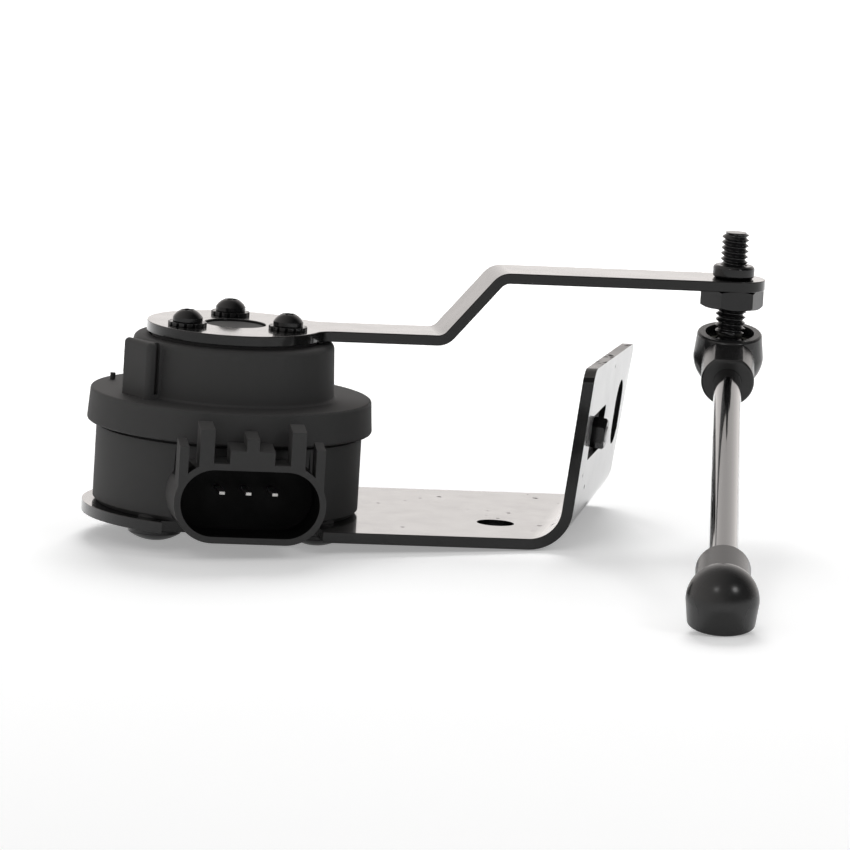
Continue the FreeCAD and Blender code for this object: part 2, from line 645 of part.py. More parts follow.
def pin_place(place):
    """Give a terminal's distance from the connector's middle."""
    return f"({place} - (pin_count - 1) / 2) * pin_pitch"


def make_terminals():
    """Bend each terminal from the connector up to the circuit board."""
    front = f"-({SHROUD_BACK} + shroud_back_wall + pin_reach)"
    back = f"-({SHROUD_BACK} - pin_stand)"
    low = f"{PIN_LEVEL} - pin_thickness / 2"
    high = f"{PIN_LEVEL} + pin_thickness / 2"
    top = f"{BOARD_TOP} + pin_top"
    for place in range(int(value("pin_count"))):
        body = new_body("terminal_%d" % (place + 1), SENSOR_FRAME)
        outline = Outline(body, "YZ_Plane", pin_place(place)).path([
            (front, low), (back, low), (back, top), (f"{back} - pin_thickness", top),
            (f"{back} - pin_thickness", high), (front, high),
        ])
        pad(body, outline, "pin_width", symmetric=True)


def make_board():
    """Make the circuit board with its terminal holes, and the angle sensor chip on it."""
    body = new_body("circuit_board", SENSOR_FRAME)
    outline = Outline(body, "XY_Plane", BOARD_BOTTOM).circle("0", "0", f"{HOUSING_INNER} - board_gap")
    pad(body, outline, "board_thickness")
    back = f"-({SHROUD_BACK} - pin_stand)"
    for place in range(int(value("pin_count"))):
        across = pin_place(place)
        left = f"{across} - pin_width / 2"
        right = f"{across} + pin_width / 2"
        hole = Outline(body, "XY_Plane", BOARD_BOTTOM)
        hole.rectangle(left, f"{back} - pin_thickness", right, back)
        pocket(body, hole, backwards=True)
    chip = new_body("angle_sensor_chip", SENSOR_FRAME)
    half = "chip_size / 2"
    square = Outline(chip, "XY_Plane", BOARD_TOP).rectangle(f"-{half}", f"-{half}", half, half)
    pad(chip, square, "chip_height")


def make_gasket():
    """Make the flat gasket between the housing and its cover."""
    body = new_body("housing_gasket", SENSOR_FRAME)
    outside = "housing_radius - gasket_setback"
    turn(body, [(HOUSING_INNER, HOUSING_TOP), (outside, HOUSING_TOP), (outside, COVER_BOTTOM),
                (HOUSING_INNER, COVER_BOTTOM)])


def make_cover():
    """Mould the cover: ring, cap, recess for the rotor, bearing tube and the boss at its side."""
    body = new_body("upper_cover", SENSOR_FRAME)
    recess = f"({ROTOR_RADIUS} + recess_gap)"
    tube = f"({BUSH_OUTER} + cover_wall)"
    cap_inner = f"({CAP_TOP_RADIUS} - cover_wall)"
    ring_ceiling = f"({RING_TOP} - cover_wall)"
    turn(body, [
        (HOUSING_INNER, COVER_BOTTOM),
        (RING_RADIUS, COVER_BOTTOM),
        (RING_TOP_RADIUS, RING_TOP),
        (CAP_RADIUS, RING_TOP),
        (CAP_TOP_RADIUS, CAP_TOP),
        (recess, CAP_TOP),
        (recess, RECESS_FLOOR),
        (SEAL_OUTER, RECESS_FLOOR),
        (SEAL_OUTER, SEAL_BOTTOM),
        (BUSH_OUTER, SEAL_BOTTOM),
        (BUSH_OUTER, BUSH_BOTTOM),
        (tube, BUSH_BOTTOM),
        (tube, CAP_CEILING),
        (cap_inner, CAP_CEILING),
        (cap_inner, ring_ceiling),
        (HOUSING_INNER, ring_ceiling),
    ])
    ease(body, "cap_rounding", ring_edge(CAP_TOP_RADIUS, CAP_TOP))
    ease(body, "ring_rounding", ring_edge(RING_TOP_RADIUS, RING_TOP))
    ease(body, "ring_rounding", ring_edge(RING_RADIUS, COVER_BOTTOM))
    ease(body, "cap_fillet", ring_edge(CAP_RADIUS, RING_TOP))

    turned = "rotation(vector(0; 0; 1); key_angle)"
    wall = f"({CAP_TOP_RADIUS} - cover_wall / 2)"
    boss = Outline(body, "XY_Plane", ring_ceiling, turned)
    boss.rectangle(wall, "-key_half_width", KEY_REACH, "key_half_width")
    pad(body, boss, "cover_wall + key_height")
    ease(body, "key_rounding", key_edges)
    groove = Outline(body, "XY_Plane", f"{RING_TOP} + groove_width", turned)
    low = "key_half_width - groove_depth"
    groove.rectangle(CAP_RADIUS, low, f"{CAP_RADIUS} + groove_width", "key_half_width + groove_depth")
    pocket(body, groove, backwards=True)
    around = "peg_angle * 1 deg"
    peg = Outline(body, "XY_Plane", RING_TOP)
    peg.circle(f"{PEG_CIRCLE} * cos({around})", f"{PEG_CIRCLE} * sin({around})", "peg_radius")
    pad(body, peg, "peg_height")


def key_edges(edge, middle):
    """Tell whether an edge is one of the outer or top edges of the cover's side boss."""
    angle = math.radians(value("key_angle"))
    out = middle.x * math.cos(angle) + middle.y * math.sin(angle)
    side = middle.y * math.cos(angle) - middle.x * math.sin(angle)
    top = value(f"{RING_TOP} + key_height")
    if near(out, value(KEY_REACH)) and near(abs(side), value("key_half_width")):
        return middle.z > value(RING_TOP)
    on_top = near(middle.z, top) and near(edge.BoundBox.ZLength, 0)
    return on_top and out > value(CAP_RADIUS) and abs(side) < value("2 * key_half_width")


def make_bush_and_seal():
    """Make the sleeve that the shaft turns in and the seal above it."""
    bush = new_body("shaft_bush", SENSOR_FRAME)
    turn(bush, [(BUSH_INNER, BUSH_BOTTOM), (BUSH_OUTER, BUSH_BOTTOM), (BUSH_OUTER, SEAL_BOTTOM),
                (BUSH_INNER, SEAL_BOTTOM)])
    seal = new_body("shaft_seal", SENSOR_FRAME)
    third = "seal_width / 3"
    turn(seal, [
        (BUSH_INNER, SEAL_BOTTOM),
        (SEAL_OUTER, SEAL_BOTTOM),
        (SEAL_OUTER, RECESS_FLOOR),
        (f"{SEAL_OUTER} - {third}", RECESS_FLOOR),
        (f"{SEAL_OUTER} - {third}", f"{SEAL_BOTTOM} + seal_thickness / 2"),
        (f"{BUSH_INNER} + {third}", f"{SEAL_BOTTOM} + seal_thickness / 2"),
        (f"{BUSH_INNER} + {third}", RECESS_FLOOR),
        (BUSH_INNER, RECESS_FLOOR),
    ])


def make_rotor():
    """Turn the rotor with its flange, spigot, ring groove and magnet pocket; add ring and magnet."""
    body = new_body("rotor_shaft", SENSOR_FRAME)
    clip_top = f"({BUSH_BOTTOM} - clip_gap)"
    clip_low = f"({clip_top} - clip_thickness)"
    groove = "(shaft_radius - clip_groove)"
    spigot = "(lever_hole_radius - stud_hole_clearance)"
    magnet_top = f"({SHAFT_END} + magnet_thickness)"
    turn(body, [
        ("0", magnet_top),
        ("magnet_radius", magnet_top),
        ("magnet_radius", SHAFT_END),
        ("shaft_radius", SHAFT_END),
        ("shaft_radius", clip_low),
        (groove, clip_low),
        (groove, clip_top),
        ("shaft_radius", clip_top),
        ("shaft_radius", ROTOR_BOTTOM),
        (ROTOR_RADIUS, ROTOR_BOTTOM),
        (ROTOR_RADIUS, LEVER_BOTTOM),
        (spigot, LEVER_BOTTOM),
        (spigot, f"{LEVER_BOTTOM} + spigot_height"),
        ("0", f"{LEVER_BOTTOM} + spigot_height"),
    ])
    hole = Outline(body, "XY_Plane", LEVER_BOTTOM).circle(*lever_screw_spot(0), "lever_screw_radius")
    repeat(body, pocket(body, hole, "lever_screw_grip"), "lever_screw_count")

    magnet = new_body("sensor_magnet", SENSOR_FRAME)
    disc = Outline(magnet, "XY_Plane", SHAFT_END).circle("0", "0", "magnet_radius")
    pad(magnet, disc, "magnet_thickness")

    ring = new_body("retaining_ring", SENSOR_FRAME)
    outside = "(shaft_radius + clip_reach)"
    turn(ring, [(groove, clip_low), (outside, clip_low), (outside, clip_top), (groove, clip_top)])
    half = "clip_opening / 2"
    gap = Outline(ring, "XY_Plane", clip_low).rectangle("0", f"-{half}", f"2 * {outside}", half)
    pocket(ring, gap, symmetric=True)


def lever_screw_spot(place):
    """Give the place of a lever screw."""
    angle = f"(lever_screw_turn + {place} * 360 / lever_screw_count) * 1 deg"
    return f"{LEVER_SCREW_CIRCLE} * cos({angle})", f"{LEVER_SCREW_CIRCLE} * sin({angle})"


def make_lever():
    """Bend the lever's strip, join its round ends and cut its holes."""
    body = new_body("lever_arm", SENSOR_FRAME)
    foot = "lever_step_start"
    head = f"({foot} + lever_rise / tan(lever_step_angle * 1 deg))"
    mitre = "lever_thickness * tan(lever_step_angle / 2 * 1 deg)"
    strip = Outline(body, "XZ_Plane").path([
        ("0", LEVER_BOTTOM),
        (foot, LEVER_BOTTOM),
        (head, ARM_BOTTOM),
        ("lever_length", ARM_BOTTOM),
        ("lever_length", ARM_TOP),
        (f"{head} - {mitre}", ARM_TOP),
        (f"{foot} - {mitre}", LEVER_TOP),
        ("0", LEVER_TOP),
    ])
    pad(body, strip, "2 * lever_half_width", symmetric=True)
    inner = [(f"{foot} - {mitre}", LEVER_TOP), (head, ARM_BOTTOM)]
    outer = [(foot, LEVER_BOTTOM), (f"{head} - {mitre}", ARM_TOP)]
    ease(body, "lever_bend_radius", bend_edges(inner))
    ease(body, "lever_bend_radius + lever_thickness", bend_edges(outer))
    disc = Outline(body, "XY_Plane", LEVER_BOTTOM).circle("0", "0", LEVER_DISC)
    pad(body, disc, "lever_thickness")
    tip = Outline(body, "XY_Plane", ARM_BOTTOM).circle("lever_length", "0", "lever_half_width")
    pad(body, tip, "lever_thickness")
    ease(body, "lever_neck_radius", neck_edges)

    centre = Outline(body, "XY_Plane", LEVER_BOTTOM).circle("0", "0", "lever_hole_radius")
    pocket(body, centre, symmetric=True)
    hole = Outline(body, "XY_Plane", LEVER_BOTTOM)
    hole.circle(*lever_screw_spot(0), "lever_screw_radius + screw_clearance")
    repeat(body, pocket(body, hole, symmetric=True), "lever_screw_count")
    stud = Outline(body, "XY_Plane", ARM_BOTTOM)
    stud.circle("lever_length", "0", "stud_radius + stud_hole_clearance")
    pocket(body, stud, symmetric=True)


def bend_edges(places):
    """Give a test for the edges across the strip at some places of its side view."""
    spots = [(value(along), value(level)) for along, level in places]

    def chosen(edge, middle):
        across = near(edge.BoundBox.YLength, value("2 * lever_half_width"))
        return across and any(near(middle.x, along) and near(middle.z, level) for along, level in spots)
    return chosen


def neck_edges(edge, middle):
    """Tell whether an edge is one of the two corners between the round end and the strip."""
    along = math.sqrt(value(LEVER_DISC) ** 2 - value("lever_half_width") ** 2)
    upright = near(edge.BoundBox.ZLength, value("lever_thickness"))
    return upright and near(middle.x, along) and near(abs(middle.y), value("lever_half_width"))


def make_lever_screws():
    """Put a domed screw on a serrated washer at each hole of the lever."""
    for place in range(int(value("lever_screw_count"))):
        across, along = lever_screw_spot(place)
        spot = f"vector({across}; {along}; {LEVER_TOP})"
        seat = f"{SENSOR_FRAME} * placement({spot}; {UPRIGHT})"
        washer = new_body("lock_washer_%d" % (place + 1), seat)
        outline = Outline(washer, "XY_Plane").circle("0", "0", "lock_washer_radius")
        outline.circle("0", "0", "lever_screw_radius + screw_clearance")
        pad(washer, outline, "lock_washer_thickness")
        root = "lock_washer_radius - tooth_depth"
        tip = "lock_washer_radius + tooth_depth"
        tooth = Outline(washer, "XY_Plane").path([(root, "0"), (tip, "-tooth_depth"), (tip, "tooth_depth")])
        repeat(washer, pocket(washer, tooth, symmetric=True), "lock_washer_teeth")
        under_head = f"{seat} * placement(vector(0; 0; lock_washer_thickness); {UPRIGHT})"
        grip = "lock_washer_thickness + lever_thickness + lever_screw_grip"
        domed_screw("lever_screw_%d" % (place + 1), under_head, "lever_screw_radius", grip,
                    "lever_screw_head", "lever_screw_height", "lever_screw_socket")


def make_bracket_screws():
    """Put a screw with a domed head under the plate at each boss of the housing."""
    for place in range(int(value("screw_count"))):
        angle = f"(45 + {place} * 360 / screw_count) * 1 deg"
        spot = f"vector({SCREW_CIRCLE} * cos({angle}); {SCREW_CIRCLE} * sin({angle}); 0)"
        frame = f"{SENSOR_FRAME} * placement({spot}; rotation(vector(1; 0; 0); 180))"
        domed_screw("bracket_screw_%d" % (place + 1), frame, "screw_radius", "screw_length",
                    "screw_head_radius", "screw_head_height", "screw_socket_flats")


def make_ball_stud():
    """Turn the ball stud and put its two nuts on it."""
    body = new_body("ball_stud", STUD_FRAME)
    meeting = "-ball_drop + sqrt(ball_radius * ball_radius - stud_taper_radius * stud_taper_radius)"
    shoulder = "-(lever_thickness + nut_height)"
    turn(body, [
        ("0", "-ball_drop - ball_radius"),
        ("stud_taper_radius", meeting, "ball_radius"),
        ("stud_neck_radius", "-ball_drop + ball_drop_to_neck"),
        ("stud_neck_radius", shoulder),
        ("stud_radius", shoulder),
        ("stud_radius", "stud_top - stud_chamfer"),
        ("stud_radius - stud_chamfer", "stud_top"),
        ("0", "stud_top"),
    ])
    hex_nut("stud_hex_nut", STUD_FRAME, "nut_flats", "nut_height", "stud_radius", shoulder)
    nut = new_body("stud_top_nut", STUD_FRAME)
    bevelled = "top_nut_radius - nut_bevel"
    turn(nut, [
        ("stud_radius", "0"),
        (bevelled, "0"),
        ("top_nut_radius", "nut_bevel"),
        ("top_nut_radius", "top_nut_height - nut_bevel"),
        (bevelled, "top_nut_height"),
        ("stud_radius", "top_nut_height"),
    ])


def make_ball_socket(name, frame):
    """Make a ball socket: a dome with an open rim, and a collar that takes the rod along -Y."""
    body = new_body(name, frame)
    turn(body, [
        ("0", "-socket_radius"),
        ("socket_radius", "0", "socket_radius"),
        ("socket_rim_radius", "socket_rim"),
        ("0", "socket_rim"),
    ])
    flat_half = "sqrt(collar_radius * collar_radius - collar_flat * collar_flat)"
    collar = Outline(body, "XZ_Plane").path([
        (flat_half, "collar_flat", "collar_radius"),
        (f"-{flat_half}", "collar_flat"),
        ("-collar_radius", "0", "collar_radius"),
        ("0", "-collar_radius", "collar_radius"),
        ("collar_radius", "0", "collar_radius"),
    ])
    pad(body, collar, "collar_reach")
    ease(body, "socket_rounding", collar_face_edges)
    ease(body, "socket_rounding", rim_edges)
    throat_level = f"sqrt({CAVITY} * {CAVITY} - socket_throat * socket_throat)"
    turn(body, [
        ("0", f"-{CAVITY}"),
        ("socket_throat", throat_level, CAVITY),
        ("socket_mouth", "socket_rim"),
        ("socket_mouth", "socket_rim + socket_rounding"),
        ("0", "socket_rim + socket_rounding"),
    ], cut=True)
    pocket(body, Outline(body, "XZ_Plane", "collar_reach").circle("0", "0", "rod_radius"), "rod_seat")


def collar_face_edges(edge, middle):
    """Tell whether an edge bounds the collar's face."""
    return near(middle.y, -value("collar_reach")) and near(edge.BoundBox.YLength, 0)


def rim_edges(edge, middle):
    """Tell whether an edge is the socket's outer rim."""
    return near(middle.z, value("socket_rim")) and near(edge.BoundBox.ZLength, 0)


def make_ball_seat(name, frame):
    """Make the thin seat that wraps the ball inside a socket."""
    body = new_body(name, frame)
    lip_foot = f"sqrt({SEAT_INNER} * {SEAT_INNER} - seat_mouth * seat_mouth)"
    mouth = f"({lip_foot} + seat_lip)"
    rim = f"sqrt({SEAT_OUTER} * {SEAT_OUTER} - {mouth} * {mouth})"
    turn(body, [
        ("0", f"-{SEAT_OUTER}"),
        (rim, mouth, SEAT_OUTER),
        ("seat_mouth", mouth),
        ("seat_mouth", lip_foot),
        ("0", f"-{SEAT_INNER}", f"-{SEAT_INNER}"),
    ])


def make_link():
    """Make the rod and the two sockets, the lower one the same part turned over."""
    make_ball_socket("upper_socket", LINK_FRAME)
    make_ball_seat("upper_ball_seat", SWIVEL_FRAME)
    rod = new_body("link_rod", LINK_FRAME)
    start = "(collar_reach - rod_seat)"
    pad(rod, Outline(rod, "XZ_Plane", start).circle("0", "0", "rod_radius"), f"link_length - 2 * {start}")
    make_ball_socket("lower_socket", LOWER_SOCKET_FRAME)
    make_ball_seat("lower_ball_seat", LOWER_SOCKET_FRAME)


def make_flange_hardware():
    """Fill the flange's oblong slot with a grommet that carries a locating pin and its nut."""
    grommet = new_body("flange_grommet", FLANGE_FRAME)
    inside = "-plate_thickness"
    lip = Outline(grommet, "YZ_Plane", f"{inside} - grommet_lip_thickness")
    lip.soft_rectangle(*slot_sides("grommet_lip"), "slot_corner + grommet_lip")
    pad(grommet, lip, "grommet_lip_thickness")
    plug = Outline(grommet, "YZ_Plane", inside).soft_rectangle(*slot_sides("0"), "slot_corner")
    pad(grommet, plug, "plate_thickness - grommet_setback")
    hole = Outline(grommet, "YZ_Plane").circle("locator_offset", "slot_level", "locator_radius")
    pocket(grommet, hole, symmetric=True)

    pin = new_body("locating_pin", LOCATOR_FRAME)
    back = "(-plate_thickness - grommet_lip_thickness)"
    front = "(-grommet_setback)"
    end = f"{front} + locator_nut_height + locator_outside"
    turn(pin, [
        ("0", f"{back} - locator_inside"),
        ("locator_head_radius", f"{back} - locator_inside"),
        ("locator_head_radius", back),
        ("locator_radius", back),
        ("locator_radius", end),
        ("0", end),
    ])
    hex_nut("locating_nut", LOCATOR_FRAME, "locator_nut_flats", "locator_nut_height",
            "locator_radius", front)


def write_parts():
    """Check every object and every piece, then write one file for each piece."""
    doc.recompute()
    failed = [item.Name for item in doc.Objects if {"Invalid", "Error"} & set(item.State)]
    if failed:
        raise RuntimeError("failed objects: " + ", ".join(failed))
    bodies = [item for item in doc.Objects if item.TypeId == "PartDesign::Body"]
    for body in bodies:
        if body.Shape.isNull() or not body.Shape.isValid() or not body.Shape.Solids:
            raise RuntimeError("no sound solid in " + body.Label)
    os.makedirs("parts", exist_ok=True)
    for body in bodies:
        body.Shape.exportStep("parts/%s.step" % body.Label)
        print("%-20s %d solid, %.1f mm3" % (body.Label, len(body.Shape.Solids), body.Shape.Volume))


make_bracket()
make_lower_housing()
make_terminals()
make_board()
make_gasket()
make_cover()
make_bush_and_seal()
make_rotor()
make_lever()
make_lever_screws()
make_bracket_screws()
make_ball_stud()
make_link()
make_flange_hardware()
write_parts()
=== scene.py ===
"""Looks of a ride height sensor: black painted sheet, moulded plastic, dark fasteners and a ball link."""
import logging
import math
from dataclasses import dataclass, field
from enum import Enum
from typing import Callable, Sequence

import bmesh
import bpy
from mathutils import Matrix, Vector


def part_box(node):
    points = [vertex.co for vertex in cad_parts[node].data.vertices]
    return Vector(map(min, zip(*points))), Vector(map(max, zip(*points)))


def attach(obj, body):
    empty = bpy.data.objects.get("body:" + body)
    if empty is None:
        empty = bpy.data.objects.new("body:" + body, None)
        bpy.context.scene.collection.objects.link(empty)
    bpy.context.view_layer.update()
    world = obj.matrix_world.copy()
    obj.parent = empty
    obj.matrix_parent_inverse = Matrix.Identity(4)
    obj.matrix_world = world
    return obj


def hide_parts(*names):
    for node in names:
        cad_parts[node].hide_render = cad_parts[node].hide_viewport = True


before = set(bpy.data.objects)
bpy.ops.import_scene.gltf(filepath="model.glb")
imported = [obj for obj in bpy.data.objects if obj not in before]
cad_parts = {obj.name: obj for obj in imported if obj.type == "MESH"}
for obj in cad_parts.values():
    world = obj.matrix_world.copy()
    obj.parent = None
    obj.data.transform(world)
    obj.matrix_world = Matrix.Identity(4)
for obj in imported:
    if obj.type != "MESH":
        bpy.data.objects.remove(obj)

LOG = logging.getLogger("ride_height_sensor")
Colour = tuple[float, float, float]
Point = tuple[float, float, float]

# Scales of the noises, per metre
CLOUD_SCALE = 55.0
SMEAR_SCALE = 140.0
RAGGED_SCALE = 1800.0
PATCH_SCALE = 90.0

# Limits for rounding edges: metres, then degrees
MERGE_DISTANCE = 1e-6
FLAT_ANGLE = 0.4
EASED_ANGLE = 38.0
SHARP_ANGLE = 35.0


class Relief(Enum):
    """The fine relief that a surface carries: the noise's scale per metre and its height in metres."""

    ORANGE_PEEL = (700.0, 0.000012)
    MOULD_GRAIN = (4200.0, 0.000004)
    ROLLED = (2600.0, 0.000006)
    RUBBER_SKIN = (3800.0, 0.00003)
    POLISHED = (900.0, 0.000002)


@dataclass(frozen=True)
class Finish:
    """A finish of the sensor, made of one shader with its colour, gloss and relief."""

    name: str
    colour: Colour
    roughness: float
    relief: Relief
    mottling: float = 0.2
    metallic: float = 0.0
    ior: float = 1.45
    coat: float = 0.0
    coat_roughness: float = 0.05
    specks: float = 0.0
    speck_colour: Colour = (0.02, 0.016, 0.014)
    chip_scale: float = 230.0
    patch_from: float = 0.54

    def material(self) -> bpy.types.Material:
        """Build the finish's material, or give the one already built.

        Returns:
            The material.
        """
        if self.name in bpy.data.materials:
            return bpy.data.materials[self.name]
        made = bpy.data.materials.new(self.name)
        made.use_nodes = True
        graph = Graph(made.node_tree)
        shader = made.node_tree.nodes["Principled BSDF"]
        place = graph.add("ShaderNodeTexCoord").outputs["Object"]
        colour = self.shaded_colour(graph, place)
        roughness = self.shaded_roughness(graph, place)
        shader.inputs["Coat Weight"].default_value = self.coat
        if self.specks:
            chips = self.chips(graph, place)
            colour = graph.blend(chips, colour, self.speck_colour)
            roughness = graph.maths("MAXIMUM", roughness, chips)
            graph.join(graph.remap(chips, 0.0, 1.0, self.coat, 0.0), shader.inputs["Coat Weight"])
            graph.join(graph.remap(chips, 0.0, 1.0, 0.5, 0.0), shader.inputs["Specular IOR Level"])
        graph.join(colour, shader.inputs["Base Color"])
        graph.join(roughness, shader.inputs["Roughness"])
        graph.join(self.surface(graph, place), shader.inputs["Normal"])
        shader.inputs["Metallic"].default_value = self.metallic
        shader.inputs["IOR"].default_value = self.ior
        shader.inputs["Coat IOR"].default_value = self.ior
        shader.inputs["Coat Roughness"].default_value = self.coat_roughness
        return made

    def shaded_colour(self, graph: "Graph", place: bpy.types.NodeSocket) -> bpy.types.NodeSocket:
        """Vary the colour slowly over the surface.

        Args:
            graph: The node graph being built.
            place: The surface's own coordinates.

        Returns:
            The varied colour.
        """
        cloud = graph.noise(place, CLOUD_SCALE, 5.0)
        low = tuple(part * (1.0 - self.mottling) for part in self.colour)
        high = tuple(part * (1.0 + self.mottling) for part in self.colour)
        return graph.ramp(cloud, (0.3, low), (0.7, high))

    def shaded_roughness(self, graph: "Graph", place: bpy.types.NodeSocket) -> bpy.types.NodeSocket:
        """Vary the roughness, as handling and moulding leave it.

        Args:
            graph: The node graph being built.
            place: The surface's own coordinates.

        Returns:
            The varied roughness.
        """
        smear = graph.noise(place, SMEAR_SCALE, 6.0)
        return graph.remap(smear, 0.3, 0.7, self.roughness * 0.85, min(self.roughness * 1.2, 1.0))

    def chips(self, graph: "Graph", place: bpy.types.NodeSocket) -> bpy.types.NodeSocket:
        """Scatter small matte chips in patches over the surface.

        Args:
            graph: The node graph being built.
            place: The surface's own coordinates.

        Returns:
            One inside a chip and zero outside.
        """
        cells = graph.add("ShaderNodeTexVoronoi")
        cells.inputs["Scale"].default_value = self.chip_scale
        graph.join(place, cells.inputs["Vector"])
        ragged = graph.remap(graph.noise(place, RAGGED_SCALE, 2.0), 0.3, 0.7, -0.06, 0.06)
        reach = graph.maths("ADD", cells.outputs["Distance"], ragged)
        spot = graph.remap(reach, self.specks * 0.8, self.specks, 1.0, 0.0)
        cloud = graph.noise(place, PATCH_SCALE, 2.0)
        patch = graph.remap(cloud, self.patch_from, self.patch_from + 0.04, 0.0, 1.0)
        return graph.maths("MULTIPLY", spot, patch)

    def surface(self, graph: "Graph", place: bpy.types.NodeSocket) -> bpy.types.NodeSocket:
        """Give the finish its relief.

        Args:
            graph: The node graph being built.
            place: The surface's own coordinates.

        Returns:
            The bumped normal.
        """
        scale, height = self.relief.value
        bump = graph.add("ShaderNodeBump")
        bump.inputs["Strength"].default_value = 1.0
        bump.inputs["Distance"].default_value = height
        graph.join(graph.noise(place, scale, 3.0), bump.inputs["Height"])
        return bump.outputs["Normal"]


class Graph:
    """A short way to add and join the nodes of one material or world."""

    def __init__(self, tree: bpy.types.NodeTree) -> None:
        """Keep the tree that the nodes go into."""
        self.tree = tree

    def add(self, kind: str) -> bpy.types.Node:
        """Add a node of a kind."""
        return self.tree.nodes.new(kind)

    def join(self, source: bpy.types.NodeSocket, target: bpy.types.NodeSocket) -> None:
        """Link one socket to another."""
        self.tree.links.new(source, target)

    def noise(self, place: bpy.types.NodeSocket, scale: float, detail: float) -> bpy.types.NodeSocket:
        """Add a noise.

        Args:
            place: The coordinates that it reads.
            scale: Its scale, per metre.
            detail: Its finer layers.

        Returns:
            The noise's value.
        """
        node = self.add("ShaderNodeTexNoise")
        node.inputs["Scale"].default_value = scale
        node.inputs["Detail"].default_value = detail
        self.join(place, node.inputs["Vector"])
        return node.outputs["Fac"]

    def ramp(self, value: bpy.types.NodeSocket, first: tuple[float, Colour],
             last: tuple[float, Colour]) -> bpy.types.NodeSocket:
        """Turn a value into a colour between two others.

        Args:
            value: The value read.
            first: The place and colour of the low end.
            last: The place and colour of the high end.

        Returns:
            The colour.
        """
        node = self.add("ShaderNodeValToRGB")
        for stop, (spot, colour) in zip(node.color_ramp.elements, (first, last)):
            stop.position = spot
            stop.color = (*colour, 1.0)
        self.join(value, node.inputs["Fac"])
        return node.outputs["Color"]

    def remap(self, value: bpy.types.NodeSocket, low: float, high: float, start: float,
              end: float) -> bpy.types.NodeSocket:
        """Stretch a range of values to another range.

        Args:
            value: The value read.
            low: The value that becomes start.
            high: The value that becomes end.
            start: The new value at low.
            end: The new value at high.

        Returns:
            The new value.
        """
        node = self.add("ShaderNodeMapRange")
        for name, number in zip(("From Min", "From Max", "To Min", "To Max"), (low, high, start, end)):
            node.inputs[name].default_value = number
        self.join(value, node.inputs["Value"])
        return node.outputs["Result"]

    def maths(self, kind: str, first: bpy.types.NodeSocket,
              second: bpy.types.NodeSocket | float) -> bpy.types.NodeSocket:
        """Add a sum.

        Args:
            kind: The sum's kind.
            first: Its first value.
            second: Its second value, a socket or a number.

        Returns:
            The sum's result.
        """
        node = self.add("ShaderNodeMath")
        node.operation = kind
        self.join(first, node.inputs[0])
        if isinstance(second, float):
            node.inputs[1].default_value = second
        else:
            self.join(second, node.inputs[1])
        return node.outputs["Value"]

    def along(self, way: bpy.types.NodeSocket, axis: Vector) -> bpy.types.NodeSocket:
        """Tell how far a direction points along an axis.

        Args:
            way: The direction read.
            axis: The axis, of unit length.

        Returns:
            One along the axis and minus one against it.
        """
        node = self.add("ShaderNodeVectorMath")
        node.operation = "DOT_PRODUCT"
        node.inputs[1].default_value = axis
        self.join(way, node.inputs[0])
        return node.outputs["Value"]

    def blend(self, share: bpy.types.NodeSocket, under: bpy.types.NodeSocket,
              over: Colour) -> bpy.types.NodeSocket:
        """Lay a colour over another.

        Args:
            share: How much of the upper colour shows.
            under: The lower colour.
            over: The upper colour.

        Returns:
            The mixed colour.
        """
        node = self.add("ShaderNodeMix")
        node.data_type = "RGBA"
        self.join(share, node.inputs["Factor"])
        self.join(under, node.inputs["A"])
        node.inputs["B"].default_value = (*over, 1.0)
        return node.outputs["Result"]


SHEET_PAINT = Finish("sheet_paint", (0.006, 0.006, 0.006), 0.22, Relief.ORANGE_PEEL, ior=1.32, coat=1.0,
                     coat_roughness=0.07, specks=0.14)
EDGE_PAINT = Finish("edge_paint", (0.05, 0.046, 0.044), 0.3, Relief.ROLLED, mottling=0.6, ior=1.5,
                    specks=0.42, speck_colour=(0.006, 0.005, 0.005), chip_scale=520.0, patch_from=0.46)
LEVER_PAINT = Finish("lever_paint", (0.006, 0.006, 0.006), 0.22, Relief.ORANGE_PEEL, ior=1.32, coat=1.0,
                     coat_roughness=0.08)
ROD_PAINT = Finish("rod_paint", (0.006, 0.006, 0.006), 0.12, Relief.POLISHED, ior=1.5, coat=1.0)
HOUSING_PLASTIC = Finish("housing_plastic", (0.005, 0.005, 0.006), 0.17, Relief.MOULD_GRAIN, mottling=0.45)
# Painted shade: a near-black, rough, weakly reflecting finish for the faces deep inside the connector's
# mouth, darker than the housing's own plastic, standing in for the shade in that recess.
MOUTH_PAINTED_SHADE = Finish("mouth_painted_shade", (0.0015, 0.0015, 0.0016), 0.6, Relief.MOULD_GRAIN, ior=1.25)
ROTOR_PLASTIC = Finish("rotor_plastic", (0.006, 0.006, 0.007), 0.13, Relief.POLISHED)
SOCKET_PLASTIC = Finish("socket_plastic", (0.007, 0.007, 0.007), 0.23, Relief.POLISHED, mottling=0.3,
                        ior=1.4)
SEAT_PLASTIC = Finish("seat_plastic", (0.55, 0.53, 0.47), 0.4, Relief.POLISHED, mottling=0.05)
BLACK_OXIDE = Finish("black_oxide", (0.006, 0.006, 0.0065), 0.17, Relief.ROLLED, mottling=0.35, ior=1.5)
BARE_STEEL = Finish("bare_steel", (0.55, 0.55, 0.56), 0.3, Relief.ROLLED, metallic=1.0, mottling=0.1)
TIN = Finish("tinned_terminal", (0.6, 0.59, 0.57), 0.3, Relief.POLISHED, metallic=1.0, mottling=0.06)
BRONZE = Finish("bush_bronze", (0.45, 0.28, 0.12), 0.45, Relief.ROLLED, metallic=1.0)
FERRITE = Finish("magnet_ferrite", (0.09, 0.09, 0.1), 0.4, Relief.ROLLED, metallic=0.7)
RUBBER = Finish("black_rubber", (0.009, 0.009, 0.009), 0.6, Relief.RUBBER_SKIN)
BOARD = Finish("board_lacquer", (0.02, 0.11, 0.045), 0.3, Relief.POLISHED, mottling=0.15, coat=0.5)
